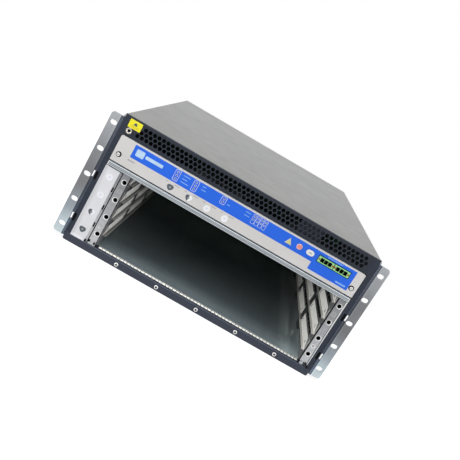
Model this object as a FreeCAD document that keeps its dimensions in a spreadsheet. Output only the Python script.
import FreeCAD, Part
import os
import re
import Sketcher

# Router chassis, five rack units tall, with an empty card cage. Millimetres, +Z up, +Y to the rear.
# Each sub-part is drawn from the plane of the front bezel (y = 0) and then placed, so that the
# origin lies under the middle of the whole object.

DIMENSIONS = {
    # Case
    "body_width": 443.0,
    "body_height": 221.0,
    "body_depth": 622.0,
    "gauge": 1.5,
    "front_reach": 3.5,
    "rear_reach": 22.0,
    "pan_rim": 12.0,
    "cover_rim": 10.0,
    "cover_front": 5.2,
    "bend": 1.4,
    "rim_gap": 4.0,
    "seat_gap": 0.1,
    # Front frame
    "post_inner": 213.2,
    "post_return": 8.0,
    "post_leg": 26.0,
    "notch_width": 3.0,
    "notch_height": 10.5,
    "notch_low": 35.5,
    "notch_high": 110.5,
    "sill_height": 13.0,
    "sill_depth": 14.0,
    "sill_corner": 3.0,
    "sill_screw_pitch": 71.7,
    "sill_screw_first": -127.4,
    "sill_screw_z": 5.7,
    "sill_screw_count": 5,
    "sill_head": 6.5,
    "sill_head_height": 1.4,
    "sill_shank": 3.4,
    "sill_shank_length": 6.0,
    "grille_bottom": 191.0,
    "comb_pitch": 7.65,
    "comb_row": 6.7,
    "comb_across": 6.2,
    "comb_first": -184.1,
    "comb_top": 212.8,
    "comb_top_count": 51,
    "comb_low_count": 52,
    # Rack ears
    "rack_width": 482.6,
    "ear_gauge": 2.5,
    "ear_bottom": 5.6,
    "ear_height": 209.4,
    "ear_leg": 32.0,
    "ear_corner": 5.0,
    "ear_bend": 3.5,
    "rack_spacing": 465.1,
    "unit_pitch": 44.45,
    "unit_count": 5,
    "rack_slot_first": 21.6,
    "rack_slot_length": 10.7,
    "rack_slot_width": 7.2,
    # Card cage
    "floor_top": 14.0,
    "shelf_top": 146.2,
    "shelf_front": 4.5,
    "lip_bottom": 138.6,
    "cage_left": -170.0,
    "cage_right": 198.5,
    "rail_width": 12.3,
    "rail_front": 6.0,
    "rail_leg": 40.0,
    "rail_hole": 6.5,
    "rail_hole_inset": 6.0,
    "rail_hole_first": 34.4,
    "card_pitch": 30.8,
    "card_count": 4,
    "guide_gauge": 1.2,
    "guide_first": 31.7,
    "guide_web": 18.6,
    "guide_ledge": 4.5,
    "guide_front": 12.0,
    "guide_rear": 530.0,
    "guide_tab": 7.0,
    "tab_inset": 4.0,
    "tab_width": 10.0,
    "bay_front": 144.0,
    "bay_post": 30.0,
    "bay_post_depth": 3.5,
    "bay_pitch": 157.5,
    "bay_count": 3,
    "post_gap": 1.0,
    "plate_right": -184.4,
    "plate_front": 2.0,
    "key_inset": 1.8,
    "key_width": 2.2,
    "key_height": 6.0,
    "screw_tab": 18.0,
    "gasket_front": 0.5,
    "gasket_gap": 0.3,
    "gasket_left": -165.0,
    "gasket_length": 361.95,
    "spring_gauge": 0.4,
    "spring_rise": 2.6,
    "spring_foot": 2.3,
    "crest_start": 3.7,
    "crest_end": 7.3,
    "spring_reach": 9.0,
    "midplane_front": 548.0,
    "midplane_thickness": 4.8,
    "socket_first": 30.0,
    "socket_width": 80.0,
    "socket_height": 10.0,
    "socket_depth": 11.0,
    "socket_rise": 4.0,
    "socket_pitch": 114.0,
    "socket_columns": 3,
    # Control panel
    "panel_half": 212.4,
    "panel_bottom": 147.7,
    "panel_top": 190.5,
    "panel_proud": 2.0,
    "panel_corner": 2.5,
    "overlay_left": -186.7,
    "overlay_right": 198.8,
    "overlay_bottom": 166.6,
    "overlay_top": 187.8,
    "overlay_step": 129.5,
    "overlay_low": 154.5,
    "overlay_film": 0.3,
    "lamp_size": 2.2,
    "lamp_slot": 2.6,
    "lamp_row": 5.25,
    "lamp_top": 183.4,
    "alarm_z": 177.5,
    "minor_x": 84.4,
    "major_x": 102.4,
    "button_x": 121.5,
    "lens_size": 9.1,
    "lens_proud": 1.2,
    "minor_width": 9.6,
    "minor_height": 8.8,
    "button_length": 13.2,
    "button_height": 8.5,
    "button_gap": 0.35,
    "collar_gap": 0.4,
    "button_travel": 1.0,
    "button_stem": 4.0,
    "terminal_left": 136.0,
    "terminal_width": 27.3,
    "terminal_height": 10.0,
    "terminal_z": 176.9,
    "terminal_proud": 0.7,
    "mouth_first": 4.4,
    "mouth_width": 5.2,
    "mouth_height": 5.8,
    "mouth_depth": 9.0,
    "mouth_pitch": 6.6,
    "mouth_count": 3,
    "panel_screw_x": 204.0,
    "panel_screw_z": 161.3,
    "recess_diameter": 8.3,
    "recess_depth": 1.2,
    "screw_hole": 5.6,
    "screw_head": 7.2,
    "head_height": 1.5,
    "head_proud": 0.6,
    "screw_shank": 4.0,
    "shank_length": 11.0,
    "board_front": 14.0,
    "board_thickness": 1.6,
    "board_left": -140.0,
    "board_margin": 4.0,
    "jack_x": -206.1,
    "jack_z": 200.0,
    "jack_bush": 8.0,
    "jack_bore": 4.5,
    "jack_bore_depth": 15.0,
    "jack_flange": 2.5,
    "jack_flange_width": 10.3,
    "jack_length": 16.0,
    "jack_nut": 10.0,
    "jack_nut_height": 2.5,
    # Fan tray and air filter
    "fan_size": 119.0,
    "fan_depth": 38.0,
    "fan_bore": 113.0,
    "fan_hub": 44.0,
    "fan_shaft": 6.0,
    "fan_seat": 5.0,
    "fan_arm": 6.0,
    "fan_arm_lap": 1.0,
    "fan_count": 3,
    "bearing_room": 0.8,
    "rotor_gap": 1.0,
    "rotor_depth": 28.0,
    "blade_pitch": 38.0,
    "blade_chord": 28.0,
    "blade_skin": 1.6,
    "blade_root": 4.0,
    "fan_first": 77.5,
    "fan_pitch": 158.0,
    "drawer_front": 16.0,
    "drawer_bottom": 15.0,
    "tray_outer": -217.5,
    "tray_width": 41.5,
    "filter_inner": 203.0,
    "filter_width": 13.5,
    "media_inset": 1.0,
    "face_gauge": 2.0,
    "face_gap": 0.3,
    "face_lap": 1.0,
    "face_side": 0.5,
    "face_bottom": 14.5,
    "face_top": 144.0,
    "vent_width": 12.0,
    "vent_height": 104.0,
    "vent_bottom": 24.0,
    "vent_pitch": 22.0,
    "vent_count": 4,
    # Power bays
    "power_front": 290.0,
    "power_pitch": 109.75,
    "power_width": 105.0,
    "power_height": 69.0,
    "power_bottom": 148.4,
    "power_gap": 4.0,
    "inlet_left": 18.0,
    "inlet_width": 28.0,
    "inlet_bottom": 158.4,
    "inlet_height": 23.0,
    "inlet_corner": 6.0,
    "inlet_depth": 20.0,
    "pin_width": 2.0,
    "pin_height": 6.0,
    "pin_length": 14.0,
    "pin_spread": 6.0,
    "pin_low": 7.0,
    "pin_high": 15.0,
    "grid_first": -46.0,
    "grid_width": 4.0,
    "grid_bottom": 158.4,
    "grid_height": 48.0,
    "grid_depth": 8.0,
    "grid_pitch": 8.0,
    "grid_count": 5,
    "divider_foot": 12.0,
    "backplane_thickness": 3.0,
    "backplane_side": 6.0,
    "backplane_margin": 4.0,
    "power_handle_x": 8.0,
    "handle_width": 12.0,
    "handle_span": 56.0,
    "handle_gauge": 2.5,
    "handle_corner": 5.0,
    "handle_inner_corner": 6.0,
    # Rear
    "stud_spacing": 15.875,
    "stud_x": 120.0,
    "stud_z": 60.0,
    "stud_diameter": 6.0,
    "stud_length": 16.0,
    "stud_nut": 10.0,
    "stud_nut_height": 5.0,
}

# Lengths that follow from the driving dimensions, written as expressions
DERIVED = {
    "front_plane": "((front_reach - rear_reach - body_depth) / 2)",
    "half_width": "(body_width / 2)",
    "inner_width": "(body_width / 2 - gauge)",
    "shelf_under": "(shelf_top - gauge)",
    "cover_under": "(body_height - gauge)",
    "rear_inside": "(body_depth - gauge)",
    "floor_half": "(body_width / 2 - 2 * gauge - 0.1)",
    "ear_outer": "(rack_width / 2)",
    "rim_start": "(post_leg + rim_gap)",
    "rim_inside": "(body_width / 2 - 2 * gauge)",
    "panel_front": "(-panel_proud)",
    "film_front": "(-panel_proud - overlay_film)",
    "terminal_front": "(-panel_proud - overlay_film - terminal_proud)",
    "fan_bottom": "(drawer_bottom + gauge)",
    "fan_centre": "(drawer_bottom + gauge + fan_size / 2)",
    "drawer_top": "(drawer_bottom + fan_size + 2 * gauge)",
    "fan_inner_face": "(tray_outer + tray_width - gauge)",
    "face_front": "(body_depth - gauge + face_gap)",
    "power_half": "(power_width / 2)",
    "power_top": "(power_bottom + power_height)",
}

SIDES = {"left": -1, "right": 1}
PAD_NORMALS = {"XY": 1, "XZ": -1, "YZ": 1}

doc = FreeCAD.newDocument("router_chassis")
sheet = doc.addObject("Spreadsheet::Sheet", "Dimensions")
for row, (alias, value) in enumerate(DIMENSIONS.items(), start=1):
    sheet.set(f"A{row}", alias.replace("_", " "))
    sheet.set(f"B{row}", str(value))
    sheet.setAlias(f"B{row}", alias)
doc.recompute()

nodes = []


def bind(text):
    """An expression on the sheet's cells, from words that name them or a derived length."""
    def word(match):
        name = match[0]
        if name in DERIVED:
            return bind(DERIVED[name])
        return f"Dimensions.{name}" if name in DIMENSIONS else name
    return re.sub(r"[a-z_]+", word, str(text))


def value(text):
    return float(sheet.evalExpression(bind(text)))


def new_body(label, x=0, y=0, z=0):
    """A sub-part, drawn from the bezel's plane and placed by that plane's distance from the origin."""
    body = doc.addObject("PartDesign::Body", label)
    body.Label = label
    body.setExpression("Placement.Base.x", bind(x))
    body.setExpression("Placement.Base.y", bind(f"front_plane + {y}"))
    body.setExpression("Placement.Base.z", bind(z))
    nodes.append(body)
    return body


def origin(body, role):
    return next(item for item in body.Origin.OriginFeatures if item.Role == role)


def sketch_on(body, plane, offset=0):
    """A sketch on an origin plane, moved along +X, +Y or +Z by offset."""
    sketch = body.newObject("Sketcher::SketchObject", "Sketch")
    sketch.AttachmentSupport = [(origin(body, plane + "_Plane"), "")]
    sketch.MapMode = "FlatFace"
    sketch.setExpression("AttachmentOffset.Base.z", bind(f"{PAD_NORMALS[plane]} * ({offset})"))
    return sketch


def fix_point(sketch, geometry, corner, x, y):
    for kind, text in (("DistanceX", x), ("DistanceY", y)):
        item = sketch.addConstraint(Sketcher.Constraint(kind, -1, 1, geometry, corner, value(text)))
        sketch.setExpression(f"Constraints[{item}]", bind(text))


def polygon(sketch, points):
    """A closed outline of straight sides through points given as expressions."""
    corners = [FreeCAD.Vector(value(x), value(y), 0) for x, y in points]
    first = sketch.GeometryCount
    count = len(corners)
    for i in range(count):
        sketch.addGeometry(Part.LineSegment(corners[i], corners[(i + 1) % count]))
    for i in range(count):
        sketch.addConstraint(Sketcher.Constraint("Coincident", first + i, 2, first + (i + 1) % count, 1))
    for i, (x, y) in enumerate(points):
        fix_point(sketch, first + i, 1, x, y)


def rectangle(sketch, left, bottom, right, top):
    polygon(sketch, [(left, bottom), (right, bottom), (right, top), (left, top)])


def circle(sketch, x, y, diameter):
    centre = FreeCAD.Vector(value(x), value(y), 0)
    up = FreeCAD.Vector(0, 0, 1)
    ring = sketch.addGeometry(Part.Circle(centre, up, value(diameter) / 2))
    fix_point(sketch, ring, 3, x, y)
    size = sketch.addConstraint(Sketcher.Constraint("Diameter", ring, value(diameter)))
    sketch.setExpression(f"Constraints[{size}]", bind(diameter))


def regular(sketch, x, y, diameter, sides):
    """A regular outline of few sides, for round pieces that repeat or hide."""
    places = []
    for step in range(sides):
        turn = 360 * (step + 0.5) / sides
        places.append((
            f"{x} + ({diameter}) / 2 * cos({turn} deg)",
            f"{y} + ({diameter}) / 2 * sin({turn} deg)"))
    polygon(sketch, places)


def oblong(sketch, x, y, length, height):
    """A slot with round ends, lying along the sketch's first axis."""
    reach = (value(length) - value(height)) / 2
    radius = value(height) / 2
    up = FreeCAD.Vector(0, 0, 1)
    middle = FreeCAD.Vector(value(x), value(y), 0)
    shift = FreeCAD.Vector(reach, 0, 0)
    rise = FreeCAD.Vector(0, radius, 0)
    quarter = 1.5707963267948966
    right = sketch.addGeometry(
        Part.ArcOfCircle(Part.Circle(middle + shift, up, radius), -quarter, quarter))
    left = sketch.addGeometry(
        Part.ArcOfCircle(Part.Circle(middle - shift, up, radius), quarter, 3 * quarter))
    top = sketch.addGeometry(Part.LineSegment(middle + shift + rise, middle - shift + rise))
    low = sketch.addGeometry(Part.LineSegment(middle - shift - rise, middle + shift - rise))
    for first, second in ((right, top), (top, left), (left, low), (low, right)):
        sketch.addConstraint(Sketcher.Constraint("Tangent", first, 2, second, 1))
    fix_point(sketch, right, 3, f"{x} + (({length}) - ({height})) / 2", y)
    fix_point(sketch, left, 3, f"{x} - (({length}) - ({height})) / 2", y)
    size = sketch.addConstraint(Sketcher.Constraint("Radius", right, radius))
    sketch.setExpression(f"Constraints[{size}]", bind(f"({height}) / 2"))


def oval(sketch, x, y, length, height):
    """A slot's outline with each round end in five straight sides."""
    places = []
    for side, first in ((1, -90), (-1, 90)):
        for step in range(6):
            turn = first + 36 * step
            places.append((
                f"{x} + {side} * (({length}) - ({height})) / 2 + ({height}) / 2 * cos({turn} deg)",
                f"{y} + ({height}) / 2 * sin({turn} deg)"))
    polygon(sketch, places)


def pad(body, sketch, length, back=False):
    """Adds material along +X, +Y or +Z from the sketch, or the other way when back is set."""
    plane = sketch.AttachmentSupport[0][0].Role[:2]
    feature = body.newObject("PartDesign::Pad", "Pad")
    feature.Profile = sketch
    feature.setExpression("Length", bind(length))
    feature.Reversed = (PAD_NORMALS[plane] > 0) == back
    doc.recompute()
    return feature


def pocket(body, sketch, length, back=False):
    """Cuts along +X, +Y or +Z from the sketch, or the other way when back is set."""
    plane = sketch.AttachmentSupport[0][0].Role[:2]
    before = body.Shape.Volume
    feature = body.newObject("PartDesign::Pocket", "Pocket")
    feature.Profile = sketch
    feature.setExpression("Length", bind(length))
    feature.Reversed = (PAD_NORMALS[plane] > 0) != back
    doc.recompute()
    if not body.Shape.Volume < before:
        raise ValueError(f"a pocket in {body.Label} cuts nothing")
    return feature


def repeat(body, feature, axis, spacing, count):
    """A row of count copies of a feature along +X, +Y or +Z."""
    row = body.newObject("PartDesign::LinearPattern", "Row")
    row.Originals = [feature]
    row.Direction = (origin(body, axis + "_Axis"), [""])
    row.setExpression("Length", bind(f"({spacing}) * ({count} - 1)"))
    row.setExpression("Occurrences", bind(count))
    body.Tip = row
    doc.recompute()
    return row


def turn_copies(body, feature, count):
    """A ring of count copies of a feature about the body's X axis."""
    ring = body.newObject("PartDesign::PolarPattern", "Ring")
    ring.Originals = [feature]
    ring.Axis = (origin(body, "X_Axis"), [""])
    ring.Angle = 360
    ring.Occurrences = count
    body.Tip = ring
    doc.recompute()


def round_edges(body, chosen, radius):
    """Rounds the edges of the tip that chosen accepts by their two ends."""
    tip = body.Tip
    names = []
    for number, edge in enumerate(tip.Shape.Edges, start=1):
        ends = [vertex.Point for vertex in edge.Vertexes]
        if len(ends) == 2 and chosen(*ends):
            names.append(f"Edge{number}")
    if not names:
        raise ValueError(f"no edge to round in {body.Label}")
    fillet = body.newObject("PartDesign::Fillet", "Fillet")
    fillet.Base = (tip, names)
    fillet.setExpression("Radius", bind(radius))
    doc.recompute()


def near(first, second):
    return abs(first - second) < 1e-4


def along(axis, **fixed):
    """Picks edges that run along one axis and lie at the given places on the others."""
    places = {name: [value(text) for text in texts] for name, texts in fixed.items()}
    def chosen(start, end):
        if near(getattr(start, axis), getattr(end, axis)):
            return False
        return all(
            near(getattr(start, name), getattr(end, name))
            and any(near(getattr(start, name), place) for place in options)
            for name, options in places.items())
    return chosen


def base_pan():
    body = new_body("base_pan")
    profile = sketch_on(body, "XZ", "gauge")
    polygon(profile, [
        ("-half_width", "0"), ("half_width", "0"), ("half_width", "gauge"), ("inner_width", "gauge"),
        ("inner_width", "pan_rim"), ("rim_inside", "pan_rim"), ("rim_inside", "gauge"),
        ("-rim_inside", "gauge"), ("-rim_inside", "pan_rim"), ("-inner_width", "pan_rim"),
        ("-inner_width", "gauge"), ("-half_width", "gauge")])
    pad(body, profile, "body_depth - gauge")
    front_flange = sketch_on(body, "XZ", "gauge")
    rectangle(front_flange, "-post_inner", "gauge", "post_inner", "sill_height - 2 * gauge")
    pad(body, front_flange, "gauge")
    rear_flange = sketch_on(body, "XZ", "rear_inside")
    rectangle(rear_flange, "cage_left", "gauge", "cage_right", "pan_rim")
    pad(body, rear_flange, "gauge")


def front_sill():
    body = new_body("front_sill")
    plate = sketch_on(body, "XZ", "0")
    rectangle(plate, "-half_width", "0", "half_width", "sill_height")
    pad(body, plate, "gauge")
    fold = sketch_on(body, "XZ", "gauge")
    rectangle(fold, "-floor_half", "sill_height - gauge", "floor_half", "sill_height")
    pad(body, fold, "sill_depth - gauge")
    round_edges(body, along("y", x=["half_width", "-half_width"], z=["0"]), "sill_corner")
    round_edges(body, along("x", y=["0"], z=["sill_height"]), "bend")


def front_post(side):
    sign = SIDES[side]
    body = new_body(f"{side}_front_post")
    profile = sketch_on(body, "XY", "sill_height")
    outline = [
        ("post_inner", "0"), ("half_width", "0"), ("half_width", "gauge"), ("inner_width", "gauge"),
        ("inner_width", "post_leg"), ("rim_inside", "post_leg"), ("rim_inside", "gauge"),
        ("post_inner + gauge", "gauge"), ("post_inner + gauge", "post_return"),
        ("post_inner", "post_return")]
    polygon(profile, [(f"{sign} * ({x})", y) for x, y in outline])
    pad(body, profile, "cover_under - sill_height")
    cap = sketch_on(body, "XY", "cover_under")
    rectangle(cap, f"{sign} * post_inner", "0", f"{sign} * half_width", "cover_front")
    pad(body, cap, "gauge")
    for bottom in ("notch_low", "notch_high"):
        notch = sketch_on(body, "XZ", "0")
        middle = "(post_inner + inner_width) / 2"
        rectangle(notch, f"{sign} * ({middle}) - notch_width / 2", bottom,
                  f"{sign} * ({middle}) + notch_width / 2", f"{bottom} + notch_height")
        pocket(body, notch, "gauge")
    round_edges(body, along("z", x=[f"{sign} * half_width"], y=["0"]), "bend")


def intake_grille():
    body = new_body("intake_grille")
    profile = sketch_on(body, "YZ", "-post_inner")
    polygon(profile, [
        ("0", "grille_bottom"), ("post_return", "grille_bottom"), ("post_return", "grille_bottom + gauge"),
        ("gauge", "grille_bottom + gauge"), ("gauge", "cover_under"), ("cover_front", "cover_under"),
        ("cover_front", "body_height"), ("0", "body_height")])
    pad(body, profile, "2 * post_inner")
    round_edges(body, along("x", y=["0"], z=["body_height"]), "bend")
    rows = (
        ("comb_first", "comb_top", "comb_top_count"),
        ("comb_first - comb_pitch / 2", "comb_top - comb_row", "comb_low_count"),
        ("comb_first - comb_pitch", "comb_top - 2 * comb_row", "comb_low_count"))
    for first, height, count in rows:
        cell = sketch_on(body, "XZ", "0")
        radius = "comb_across / sqrt(3)"
        polygon(cell, [
            (f"{first} + {radius} * sin({60 * step} deg)", f"{height} + {radius} * cos({60 * step} deg)")
            for step in range(6)])
        repeat(body, pocket(body, cell, "gauge"), "X", "comb_pitch", count)
    hole = sketch_on(body, "XZ", "0")
    circle(hole, "jack_x", "jack_z", "jack_bush + 2 * seat_gap")
    pocket(body, hole, "gauge")


def side_wall(side):
    """A flat wall with a group of upright vents beside each of the three fan positions."""
    sign = SIDES[side]
    body = new_body(f"{side}_side_wall")
    plane = "inner_width" if sign > 0 else "-half_width"
    wall = sketch_on(body, "YZ", plane)
    rectangle(wall, "gauge", "gauge", "rear_inside", "cover_under")
    pad(body, wall, "gauge")
    for group in range(3):
        vent = sketch_on(body, "YZ", plane)
        start = f"fan_first + {group} * fan_pitch - vent_pitch * (vent_count - 1) / 2 - vent_width / 2"
        rectangle(vent, start, "vent_bottom", f"{start} + vent_width", "vent_bottom + vent_height")
        repeat(body, pocket(body, vent, "gauge"), "Y", "vent_pitch", "vent_count")


def top_cover():
    body = new_body("top_cover")
    plate = sketch_on(body, "XY", "cover_under")
    rectangle(plate, "-half_width", "cover_front", "half_width", "body_depth")
    pad(body, plate, "gauge")
    rims = sketch_on(body, "XY", "cover_under")
    for sign in SIDES.values():
        rectangle(rims, f"{sign} * rim_inside", "rim_start", f"{sign} * inner_width", "rear_inside")
    pad(body, rims, "cover_rim", back=True)
    round_edges(body, along("y", x=["half_width", "-half_width"], z=["body_height"]), "bend")


def rear_panel():
    body = new_body("rear_panel")
    profile = sketch_on(body, "XY", "gauge")
    back = "rear_inside"
    front = "rear_inside - gauge"
    fold = "rear_inside - pan_rim"
    polygon(profile, [
        ("cage_left", fold), ("cage_left + gauge", fold), ("cage_left + gauge", front),
        ("cage_right - gauge", front), ("cage_right - gauge", fold), ("cage_right", fold),
        ("cage_right", back), ("cage_left", back)])
    pad(body, profile, "shelf_under - gauge")


def rack_ear(side):
    sign = SIDES[side]
    body = new_body(f"{side}_rack_ear")
    profile = sketch_on(body, "XY", "ear_bottom")
    outline = [
        ("half_width", "0"), ("ear_outer", "0"), ("ear_outer", "ear_gauge"),
        ("half_width + ear_gauge", "ear_gauge"), ("half_width + ear_gauge", "ear_leg"),
        ("half_width", "ear_leg")]
    polygon(profile, [(f"{sign} * ({x})", y) for x, y in outline])
    pad(body, profile, "ear_height")
    round_edges(body, along("z", x=[f"{sign} * half_width"], y=["0"]), "ear_bend")
    round_edges(body, along("y", x=[f"{sign} * ear_outer"], z=["ear_bottom", "ear_bottom + ear_height"]),
                "ear_corner")
    for bottom in ("notch_low", "notch_high"):
        window = sketch_on(body, "XZ", "0")
        rectangle(window, f"{sign} * half_width", bottom,
                  f"{sign} * (half_width + ear_gauge + gauge)", f"{bottom} + notch_height")
        pocket(body, window, "2 * ear_gauge")
    slot = sketch_on(body, "XZ", "0")
    oblong(slot, f"{sign} * rack_spacing / 2", "rack_slot_first", "rack_slot_length", "rack_slot_width")
    repeat(body, pocket(body, slot, "ear_gauge"), "Z", "unit_pitch", "unit_count")


def slot_number_plate():
    body = new_body("slot_number_plate")
    profile = sketch_on(body, "XY", "sill_height")
    back = "plate_front + gauge"
    polygon(profile, [
        ("-post_inner", "plate_front"), ("plate_right", "plate_front"), ("plate_right", "sill_depth"),
        ("plate_right - gauge", "sill_depth"), ("plate_right - gauge", back), ("-post_inner", back)])
    pad(body, profile, "lip_bottom - sill_height")
    notch = sketch_on(body, "XZ", "plate_front")
    rectangle(notch, "plate_right - key_inset - key_width", "sill_height", "plate_right - key_inset",
              "sill_height + key_height")
    repeat(body, pocket(body, notch, "gauge"), "Z", "card_pitch", "card_count")


def card_rail(side):
    """The angle beside the cage mouth whose holes take the cards' screws."""
    sign = SIDES[side]
    body = new_body(f"{side}_card_rail")
    profile = sketch_on(body, "XY", "floor_top")
    edge = "cage_right" if sign > 0 else "(-cage_left)"
    back = "rail_front + gauge"
    outline = [
        (edge, "rail_front"), (f"{edge} + rail_width", "rail_front"), (f"{edge} + rail_width", back),
        (f"{edge} + gauge", back), (f"{edge} + gauge", "rail_leg"), (edge, "rail_leg")]
    if sign > 0:
        step = f"{edge} + rail_width"
        outline[2:3] = [
            (step, "rail_front + 2 * gauge"), ("post_inner", "rail_front + 2 * gauge"),
            ("post_inner", "rail_front + 3 * gauge"), (f"{step} - gauge", "rail_front + 3 * gauge"),
            (f"{step} - gauge", back)]
    polygon(profile, [(f"{sign} * ({x})", y) for x, y in outline])
    pad(body, profile, "shelf_under - floor_top")
    hole = sketch_on(body, "XZ", "rail_front")
    regular(hole, f"{sign} * ({edge} + rail_hole_inset)", "rail_hole_first", "rail_hole", 12)
    repeat(body, pocket(body, hole, "gauge"), "Z", "card_pitch", "card_count")


def guide_posts(side):
    """Three channels that stand between the cage floor and the shelf and carry the card guides."""
    sign = SIDES[side]
    body = new_body(f"{side}_guide_posts")
    profile = sketch_on(body, "XY", "floor_top")
    face = "cage_right" if sign > 0 else "(-cage_left)"
    rear = "bay_front + bay_post"
    inside = f"{face} + guide_gauge"
    lip = f"{face} + bay_post_depth"
    outline = [
        (face, "bay_front"), (lip, "bay_front"), (lip, "bay_front + guide_gauge"),
        (inside, "bay_front + guide_gauge"), (inside, f"{rear} - guide_gauge"),
        (lip, f"{rear} - guide_gauge"), (lip, rear), (face, rear)]
    polygon(profile, [(f"{sign} * ({x})", y) for x, y in outline])
    post = pad(body, profile, "shelf_under - floor_top")
    repeat(body, post, "Y", "bay_pitch", "bay_count")


def card_guide(side, number):
    """A folded strip: three web panels, a ledge for the card's edge, and a tab at each post."""
    sign = SIDES[side]
    body = new_body(f"{side}_card_guide_{number}", z=f"guide_first + {number - 1} * card_pitch")
    face = "cage_right" if sign > 0 else "(-cage_left)"
    profile = sketch_on(body, "XZ", "guide_front")
    inside = f"{face} - guide_gauge"
    outline = [
        (face, "0"), (face, "guide_web"), (inside, "guide_web"), (inside, "guide_gauge"),
        (f"{inside} - guide_ledge", "guide_gauge"), (f"{inside} - guide_ledge", "0")]
    polygon(profile, [(f"{sign} * ({x})", z) for x, z in outline])
    pad(body, profile, "guide_rear - guide_front")
    tab = sketch_on(body, "YZ", f"{sign} * ({face} - guide_gauge / 2) - guide_gauge / 2")
    tab_front = "bay_front + tab_inset"
    rectangle(tab, tab_front, "-guide_tab", f"{tab_front} + tab_width", "0")
    repeat(body, pad(body, tab, "guide_gauge"), "Y", "bay_pitch", "bay_count")
    gap = sketch_on(body, "YZ", f"{sign} * ({face} - guide_gauge / 2) - guide_gauge / 2")
    rectangle(gap, "bay_front - post_gap", "guide_gauge", "bay_front + bay_post + post_gap", "guide_web")
    repeat(body, pocket(body, gap, "guide_gauge"), "Y", "bay_pitch", "bay_count")


def cage_floor():
    body = new_body("cage_floor")
    under = "floor_top - gauge"
    profile = sketch_on(body, "XZ", "sill_depth")
    polygon(profile, [
        ("-floor_half", "gauge"), ("-floor_half + gauge", "gauge"), ("-floor_half + gauge", under),
        ("floor_half - gauge", under), ("floor_half - gauge", "gauge"), ("floor_half", "gauge"),
        ("floor_half", "floor_top"), ("-floor_half", "floor_top")])
    pad(body, profile, "rear_inside - pan_rim - sill_depth")


def equipment_shelf():
    """The cage's ceiling, with a lip for the gasket and two tabs that take the panel's screws."""
    body = new_body("equipment_shelf")
    plate = sketch_on(body, "XY", "shelf_under")
    polygon(plate, [
        ("-post_inner", "shelf_front"), ("post_inner", "shelf_front"), ("post_inner", "rim_start"),
        ("inner_width", "rim_start"), ("inner_width", "rear_inside"), ("-inner_width", "rear_inside"),
        ("-inner_width", "rim_start"), ("-post_inner", "rim_start")])
    pad(body, plate, "gauge")
    rims = sketch_on(body, "XY", "shelf_top")
    for sign in SIDES.values():
        rectangle(rims, f"{sign} * rim_inside", "rim_start", f"{sign} * inner_width", "rear_inside")
    pad(body, rims, "cover_rim")
    lip = sketch_on(body, "XZ", "shelf_front")
    rectangle(lip, "-post_inner", "lip_bottom", "post_inner", "shelf_under")
    pad(body, lip, "gauge")
    tabs = sketch_on(body, "XZ", "shelf_front")
    for sign in SIDES.values():
        middle = f"{sign} * panel_screw_x"
        rectangle(tabs, f"{middle} - screw_tab / 2", "shelf_top", f"{middle} + screw_tab / 2",
                  "panel_screw_z + screw_tab / 2")
    pad(body, tabs, "gauge")
    holes = sketch_on(body, "XZ", "shelf_front")
    for sign in SIDES.values():
        regular(holes, f"{sign} * panel_screw_x", "panel_screw_z", "screw_hole", 8)
    pocket(body, holes, "gauge")


def shelf_gasket():
    body = new_body("shelf_gasket")
    profile = sketch_on(body, "YZ", "-(post_inner - gasket_gap)")
    rectangle(profile, "gasket_front", "lip_bottom", "shelf_front", "shelf_top")
    pad(body, profile, "2 * (post_inner - gasket_gap)")
    round_edges(body, along("x", y=["gasket_front"], z=["lip_bottom", "shelf_top"]), "gauge")


def floor_gasket():
    """A sprung strip on the sill that arches over from a flat foot."""
    body = new_body("floor_gasket")
    foot = "sill_height + spring_gauge"
    crest = "sill_height + spring_rise"
    under = f"{crest} - spring_gauge"
    profile = sketch_on(body, "YZ", "gasket_left")
    outline = [
        ("0", "sill_height"), ("0", foot), ("spring_foot", foot), ("crest_start", crest),
        ("crest_end", crest), ("spring_reach", foot), ("spring_reach - spring_gauge", "sill_height"),
        ("crest_end - spring_gauge", under), ("crest_start + spring_gauge", under),
        ("spring_foot + spring_gauge", "sill_height")]
    polygon(profile, [(f"sill_depth - ({y})", z) for y, z in outline])
    pad(body, profile, "gasket_length")


def midplane():
    board = new_body("midplane_board")
    sheet_outline = sketch_on(board, "XZ", "midplane_front")
    rectangle(sheet_outline, "cage_left", "floor_top", "cage_right", "shelf_under")
    pad(board, sheet_outline, "midplane_thickness")
    sockets = new_body("midplane_connectors")
    socket = sketch_on(sockets, "XZ", "midplane_front - socket_depth")
    left = "cage_left + socket_first"
    low = "guide_first + socket_rise"
    rectangle(socket, left, low, f"{left} + socket_width", f"{low} + socket_height")
    block = pad(sockets, socket, "socket_depth")
    grid = repeat(sockets, block, "X", "socket_pitch", "socket_columns")
    grid.Direction2 = (origin(sockets, "Z_Axis"), [""])
    grid.setExpression("Length2", bind("(card_count - 1) * card_pitch"))
    grid.setExpression("Occurrences2", bind("card_count"))


# The status lamps' columns: places across the panel, and the count of rows in each
LAMP_COLUMNS = {-112.1: 3, -80.3: 3, -32.6: 2, 21.3: 2, 27.65: 2, 34.0: 2, 40.35: 2}


def control_cutouts(sketch):
    """Openings for the button and the terminal blocks, in the panel and in its overlay."""
    oval(sketch, "button_x", "alarm_z", "button_length + 2 * button_gap", "button_height + 2 * button_gap")
    rectangle(sketch, "terminal_left", "terminal_z - terminal_height / 2",
              "terminal_left + 2 * terminal_width", "terminal_z + terminal_height / 2")


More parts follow.
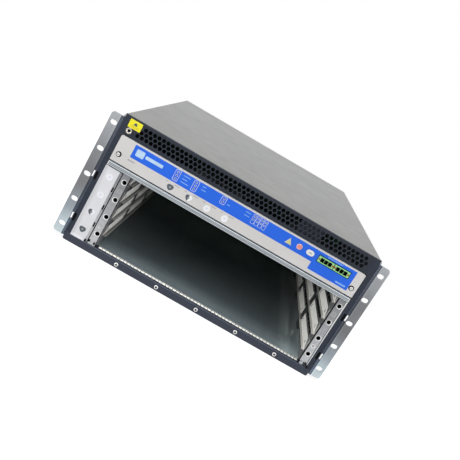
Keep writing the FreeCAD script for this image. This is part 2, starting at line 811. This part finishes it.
def craft_panel():
    """A folded tray: front plate with rims that reach back to the shelf's tabs."""
    body = new_body("craft_panel")
    face = sketch_on(body, "XZ", "panel_front")
    rectangle(face, "-panel_half", "panel_bottom", "panel_half", "panel_top")
    pad(body, face, "panel_proud + shelf_front")
    corners = along("y", x=["-panel_half", "panel_half"], z=["panel_bottom", "panel_top"])
    round_edges(body, corners, "panel_corner")
    hollow = sketch_on(body, "XZ", "0")
    rectangle(hollow, "-panel_half + gauge", "panel_bottom + gauge",
              "panel_half - gauge", "panel_top - gauge")
    pocket(body, hollow, "shelf_front")
    windows = sketch_on(body, "XZ", "panel_front")
    control_cutouts(windows)
    for x, rows in LAMP_COLUMNS.items():
        rectangle(windows, f"{x} - lamp_slot / 2", f"lamp_top - {rows - 1} * lamp_row - lamp_slot / 2",
                  f"{x} + lamp_slot / 2", "lamp_top + lamp_slot / 2")
    pocket(body, windows, "panel_proud")
    recess = ("recess_diameter", 12, "recess_depth")
    through = ("screw_hole", 8, "panel_proud")
    for diameter, sides, depth in (recess, through):
        seats = sketch_on(body, "XZ", "panel_front")
        for sign in SIDES.values():
            regular(seats, f"{sign} * panel_screw_x", "panel_screw_z", diameter, sides)
        pocket(body, seats, depth)


def panel_overlay():
    body = new_body("panel_overlay")
    film = sketch_on(body, "XZ", "film_front")
    polygon(film, [
        ("overlay_left", "overlay_bottom"), ("overlay_step", "overlay_bottom"),
        ("overlay_step", "overlay_low"), ("overlay_right", "overlay_low"),
        ("overlay_right", "overlay_top"), ("overlay_left", "overlay_top")])
    pad(body, film, "overlay_film")
    windows = sketch_on(body, "XZ", "film_front")
    control_cutouts(windows)
    pocket(body, windows, "overlay_film")


def panel_board():
    body = new_body("panel_board")
    board = sketch_on(body, "XZ", "board_front")
    rectangle(board, "board_left", "panel_bottom + board_margin",
              "overlay_right - board_margin", "panel_top - board_margin")
    pad(body, board, "board_thickness")


def status_lamps():
    """Light pipes from the board to the back of the overlay."""
    body = new_body("status_lamps")
    pipes = sketch_on(body, "XZ", "panel_front")
    for x, rows in LAMP_COLUMNS.items():
        for row in range(rows):
            low = f"lamp_top - {row} * lamp_row - lamp_size / 2"
            rectangle(pipes, f"{x} - lamp_size / 2", low, f"{x} + lamp_size / 2", f"{low} + lamp_size")
    pad(body, pipes, "board_front + panel_proud")


def alarm_lenses():
    """A triangular amber lens, point up, and a round red one, both seated on the overlay."""
    minor = new_body("minor_alarm_lens", x="minor_x", z="alarm_z")
    outline = sketch_on(minor, "XZ", "film_front - lens_proud")
    polygon(outline, [
        ("-minor_width / 2", "-minor_height / 2"), ("minor_width / 2", "-minor_height / 2"),
        ("0", "minor_height / 2")])
    pad(minor, outline, "lens_proud")
    major = new_body("major_alarm_lens", x="major_x", z="alarm_z")
    outline = sketch_on(major, "XZ", "film_front - lens_proud")
    regular(outline, "0", "0", "lens_size", 20)
    pad(major, outline, "lens_proud")


def alarm_cutoff_button():
    """An oval cap, a collar that keeps it behind the panel, and a stem towards the board's switch."""
    body = new_body("alarm_cutoff_button", x="button_x", z="alarm_z")
    cap = sketch_on(body, "XZ", "-front_reach")
    oval(cap, "0", "0", "button_length", "button_height")
    pad(body, cap, "front_reach + collar_gap")
    collar = sketch_on(body, "XZ", "collar_gap")
    rectangle(collar, "-button_length / 2 - gauge", "-button_height / 2 - gauge",
              "button_length / 2 + gauge", "button_height / 2 + gauge")
    pad(body, collar, "gauge")
    stem = sketch_on(body, "XZ", "collar_gap + gauge")
    rectangle(stem, "-button_stem / 2", "-button_stem / 2", "button_stem / 2", "button_stem / 2")
    pad(body, stem, "board_front - gauge - 2 * collar_gap - button_travel")


def alarm_terminal(side, step):
    """A socket block with three wire mouths."""
    body = new_body(f"{side}_alarm_terminal", x=f"terminal_left + {step} * terminal_width")
    block = sketch_on(body, "XZ", "terminal_front")
    rectangle(block, "0", "terminal_z - terminal_height / 2",
              "terminal_width", "terminal_z + terminal_height / 2")
    pad(body, block, "board_front - terminal_front")
    mouth = sketch_on(body, "XZ", "terminal_front")
    rectangle(mouth, "mouth_first", "terminal_z - mouth_height / 2",
              "mouth_first + mouth_width", "terminal_z + mouth_height / 2")
    repeat(body, pocket(body, mouth, "mouth_depth"), "X", "mouth_pitch", "mouth_count")


def panel_screw(side):
    """A captive screw: head in the panel's recess, shank through the shelf's tab."""
    sign = SIDES[side]
    body = new_body(f"{side}_panel_screw", x=f"{sign} * panel_screw_x", z="panel_screw_z")
    head = sketch_on(body, "XZ", "panel_front - head_proud")
    regular(head, "0", "0", "screw_head", 12)
    pad(body, head, "head_height")
    shank = sketch_on(body, "XZ", "panel_front - head_proud + head_height")
    regular(shank, "0", "0", "screw_shank", 8)
    pad(body, shank, "shank_length")


def grounding_jack():
    """A bored bush with a flange in front of the grille and a square nut behind it."""
    body = new_body("grounding_jack", x="jack_x", z="jack_z")
    flange = sketch_on(body, "XZ", "-jack_flange")
    regular(flange, "0", "0", "jack_flange_width", 12)
    pad(body, flange, "jack_flange")
    bush = sketch_on(body, "XZ", "0")
    regular(bush, "0", "0", "jack_bush", 8)
    pad(body, bush, "jack_length")
    nut = sketch_on(body, "XZ", "gauge")
    regular(nut, "0", "0", "jack_nut * sqrt(2)", 4)
    pad(body, nut, "jack_nut_height")
    bore = sketch_on(body, "XZ", "-jack_flange")
    circle(bore, "0", "0", "jack_bore")
    pocket(body, bore, "jack_bore_depth")


def ground_studs():
    """Two threaded studs with nuts, spaced for a two-hole earth lug."""
    body = new_body("ground_studs", x="stud_x", z="stud_z")
    rod = sketch_on(body, "XZ", "rear_inside")
    circle(rod, "-stud_spacing / 2", "0", "stud_diameter")
    repeat(body, pad(body, rod, "stud_length"), "X", "stud_spacing", "2")
    nut = sketch_on(body, "XZ", "rear_inside")
    radius = "stud_nut / sqrt(3)"
    polygon(nut, [
        (f"{radius} * cos({60 * step} deg) - stud_spacing / 2", f"{radius} * sin({60 * step} deg)")
        for step in range(6)])
    repeat(body, pad(body, nut, "stud_nut_height"), "X", "stud_spacing", "2")


def sill_screws():
    body = new_body("sill_screws", x="sill_screw_first", z="sill_screw_z")
    head = sketch_on(body, "XZ", "-sill_head_height")
    regular(head, "0", "0", "sill_head", 12)
    repeat(body, pad(body, head, "sill_head_height"), "X", "sill_screw_pitch", "sill_screw_count")
    shank = sketch_on(body, "XZ", "0")
    regular(shank, "0", "0", "sill_shank", 4)
    repeat(body, pad(body, shank, "sill_shank_length"), "X", "sill_screw_pitch", "sill_screw_count")


def strap_handle(body, x, z, face):
    """A folded strap that stands out from a faceplate, with a slot for the fingers."""
    strap = sketch_on(body, "YZ", f"{x} - handle_width / 2")
    low = f"{z} - handle_span / 2"
    high = f"{z} + handle_span / 2"
    reach = "body_depth + rear_reach"
    outer = f"{reach} - handle_corner"
    inner = f"{reach} - handle_inner_corner"
    palm = f"{reach} - handle_gauge"
    polygon(strap, [
        (face, low), (outer, low), (reach, f"{low} + handle_corner"), (reach, f"{high} - handle_corner"),
        (outer, high), (face, high), (face, f"{high} - handle_gauge"), (inner, f"{high} - handle_gauge"),
        (palm, f"{high} - handle_inner_corner"), (palm, f"{low} + handle_inner_corner"),
        (inner, f"{low} + handle_gauge"), (face, f"{low} + handle_gauge")])
    pad(body, strap, "handle_width")


def drawer(label, left, width, face_left, face_right):
    """A sheet ring that slides in from the rear, closed by a faceplate with a handle."""
    body = new_body(label)
    ring = sketch_on(body, "YZ", left)
    rectangle(ring, "drawer_front", "drawer_bottom", "body_depth", "drawer_top")
    pad(body, ring, width)
    hollow = sketch_on(body, "YZ", left)
    rectangle(hollow, "drawer_front + gauge", "fan_bottom", "rear_inside", "drawer_top - gauge")
    pocket(body, hollow, width)
    face = sketch_on(body, "XZ", "face_front")
    rectangle(face, face_left, "face_bottom", face_right, "face_top")
    pad(body, face, "face_gauge")
    strap_handle(body, f"({face_left} + {face_right}) / 2", "fan_centre", "face_front + face_gauge")


def fan_place(number):
    return f"fan_first + {number - 1} * fan_pitch"


def fan_frame(number):
    """A square fan housing with a round duct, and a motor seat on three arms at its outer face."""
    body = new_body(f"fan_frame_{number}", x="fan_inner_face", y=fan_place(number), z="fan_centre")
    block = sketch_on(body, "YZ", "-fan_depth")
    rectangle(block, "-fan_size / 2", "-fan_size / 2", "fan_size / 2", "fan_size / 2")
    pad(body, block, "fan_depth")
    duct = sketch_on(body, "YZ", "-fan_depth")
    regular(duct, "0", "0", "fan_bore", 20)
    pocket(body, duct, "fan_depth")
    seat = sketch_on(body, "YZ", "-fan_depth")
    regular(seat, "0", "0", "fan_hub", 12)
    pad(body, seat, "fan_seat")
    arm = sketch_on(body, "YZ", "-fan_depth")
    rectangle(arm, "-fan_arm / 2", "fan_hub / 2 - fan_arm_lap", "fan_arm / 2", "fan_bore / 2 + fan_arm_lap")
    turn_copies(body, pad(body, arm, "fan_seat"), 3)
    bearing = sketch_on(body, "YZ", "-fan_depth")
    regular(bearing, "0", "0", "fan_shaft + 2 * bearing_room", 8)
    pocket(body, bearing, "fan_seat")


def fan_rotor(number):
    """A motor hub with five flat pitched blades and a shaft in the frame's bearing."""
    body = new_body(f"fan_rotor_{number}", x="fan_inner_face", y=fan_place(number), z="fan_centre")
    hub = sketch_on(body, "YZ", "-fan_depth + fan_seat + rotor_gap")
    regular(hub, "0", "0", "fan_hub - 2 * rotor_gap", 12)
    pad(body, hub, "rotor_depth")
    shaft = sketch_on(body, "YZ", "-fan_depth")
    regular(shaft, "0", "0", "fan_shaft", 8)
    pad(body, shaft, "fan_seat + 2 * rotor_gap")
    section = sketch_on(body, "XY", "fan_hub / 2 - blade_root")
    half = "blade_chord / 2"
    skin = "blade_skin / 2"
    across = "sin(blade_pitch * 1 deg)"
    along_blade = "cos(blade_pitch * 1 deg)"
    corners = [(half, skin), (f"-{half}", skin), (f"-{half}", f"-{skin}"), (half, f"-{skin}")]
    polygon(section, [
        (f"-fan_depth / 2 + ({u}) * {across} + ({v}) * {along_blade}",
         f"({u}) * {along_blade} - ({v}) * {across}")
        for u, v in corners])
    turn_copies(body, pad(body, section, "(fan_bore - fan_hub) / 2 - rotor_gap"), 5)


def filter_media():
    body = new_body("filter_media")
    block = sketch_on(body, "YZ", "filter_inner + media_inset")
    rectangle(block, "drawer_front + gauge", "fan_bottom", "rear_inside", "drawer_top - gauge")
    pad(body, block, "filter_width - 2 * media_inset")


def power_bay_dividers():
    """Three upright sheets between the power bays, each with a foot on the shelf."""
    body = new_body("power_bay_dividers")
    profile = sketch_on(body, "XZ", "power_front")
    left = "-power_pitch - gauge / 2"
    right = f"{left} + gauge"
    foot = f"{left} + divider_foot"
    polygon(profile, [
        (left, "shelf_top"), (foot, "shelf_top"), (foot, "shelf_top + gauge"),
        (right, "shelf_top + gauge"), (right, "cover_under"), (left, "cover_under")])
    wall = pad(body, profile, "rear_inside - power_front")
    repeat(body, wall, "X", "power_pitch", "3")


def power_backplane():
    body = new_body("power_backplane")
    board = sketch_on(body, "XZ", "power_front - backplane_thickness")
    rectangle(board, "-inner_width + backplane_side", "shelf_top + backplane_margin",
              "inner_width - backplane_side", "cover_under - backplane_margin")
    pad(body, board, "backplane_thickness")


def bay_centre(bay):
    return f"{bay - 2.5} * power_pitch"


def power_supply(number, bay):
    """A plug-in module: case, faceplate with an exhaust grid and a mains inlet, and a handle."""
    body = new_body(f"power_supply_{number}", x=bay_centre(bay))
    case = sketch_on(body, "XZ", "power_front + power_gap")
    rectangle(case, "-power_half", "power_bottom", "power_half", "power_top")
    pad(body, case, "face_front - power_front - power_gap")
    face = sketch_on(body, "XZ", "face_front")
    rectangle(face, "-power_half - face_lap", "power_bottom - face_lap",
              "power_half + face_lap", "power_top + face_lap")
    pad(body, face, "face_gauge")
    outside = "body_depth + face_lap"
    inlet_right = "inlet_left + inlet_width"
    inlet_top = "inlet_bottom + inlet_height"
    inlet = sketch_on(body, "XZ", outside)
    polygon(inlet, [
        ("inlet_left", "inlet_bottom"), (inlet_right, "inlet_bottom"),
        (inlet_right, f"{inlet_top} - inlet_corner"), (f"{inlet_right} - inlet_corner", inlet_top),
        ("inlet_left + inlet_corner", inlet_top), ("inlet_left", f"{inlet_top} - inlet_corner")])
    pocket(body, inlet, "inlet_depth", back=True)
    pins = sketch_on(body, "XZ", f"{outside} - inlet_depth")
    for spread, height in ((-1, "pin_low"), (1, "pin_low"), (0, "pin_high")):
        x = f"inlet_left + inlet_width / 2 + {spread} * pin_spread"
        z = f"inlet_bottom + {height}"
        rectangle(pins, f"{x} - pin_width / 2", f"{z} - pin_height / 2",
                  f"{x} + pin_width / 2", f"{z} + pin_height / 2")
    pad(body, pins, "pin_length")
    slot = sketch_on(body, "XZ", outside)
    rectangle(slot, "grid_first", "grid_bottom", "grid_first + grid_width", "grid_bottom + grid_height")
    repeat(body, pocket(body, slot, "grid_depth", back=True), "X", "grid_pitch", "grid_count")
    strap_handle(body, "power_handle_x", "power_bottom + power_height / 2", "face_front + face_gauge")


def power_bay_cover(number, bay):
    """A blank sheet over an empty power bay, with folded sides."""
    body = new_body(f"power_bay_cover_{number}", x=bay_centre(bay))
    profile = sketch_on(body, "XY", "power_bottom")
    fold = "rear_inside - pan_rim"
    polygon(profile, [
        ("-power_half", fold), ("-power_half + gauge", fold), ("-power_half + gauge", "rear_inside"),
        ("power_half - gauge", "rear_inside"), ("power_half - gauge", fold), ("power_half", fold),
        ("power_half", "body_depth"), ("-power_half", "body_depth")])
    pad(body, profile, "power_height")


def build():
    base_pan()
    front_sill()
    intake_grille()
    top_cover()
    rear_panel()
    slot_number_plate()
    cage_floor()
    equipment_shelf()
    shelf_gasket()
    floor_gasket()
    midplane()
    for side in SIDES:
        front_post(side)
        side_wall(side)
        rack_ear(side)
        card_rail(side)
        guide_posts(side)
        panel_screw(side)
        for number in range(1, DIMENSIONS["card_count"] + 1):
            card_guide(side, number)
    craft_panel()
    panel_overlay()
    panel_board()
    status_lamps()
    alarm_lenses()
    alarm_cutoff_button()
    for step, side in enumerate(SIDES):
        alarm_terminal(side, step)
    grounding_jack()
    ground_studs()
    sill_screws()
    drawer("fan_tray", "tray_outer", "tray_width", "-inner_width + face_side", "cage_left - face_lap")
    drawer("filter_frame", "filter_inner", "filter_width", "cage_right + face_lap", "inner_width - face_side")
    filter_media()
    for number in range(1, DIMENSIONS["fan_count"] + 1):
        fan_frame(number)
        fan_rotor(number)
    power_bay_dividers()
    power_backplane()
    for number, bay in enumerate((1, 3), start=1):
        power_supply(number, bay)
        power_bay_cover(number, bay + 1)


def check_and_export():
    doc.recompute()
    for item in doc.Objects:
        if {"Invalid", "Error"} & set(item.State):
            raise ValueError(f"{item.Label} failed: {item.State}")
    os.makedirs("parts", exist_ok=True)
    for body in nodes:
        if body.Shape.isNull() or not body.Shape.isValid():
            raise ValueError(f"{body.Label} has no valid shape")
    for body in nodes:
        body.Shape.exportStep(f"parts/{body.Label}.step")


build()
check_and_export()
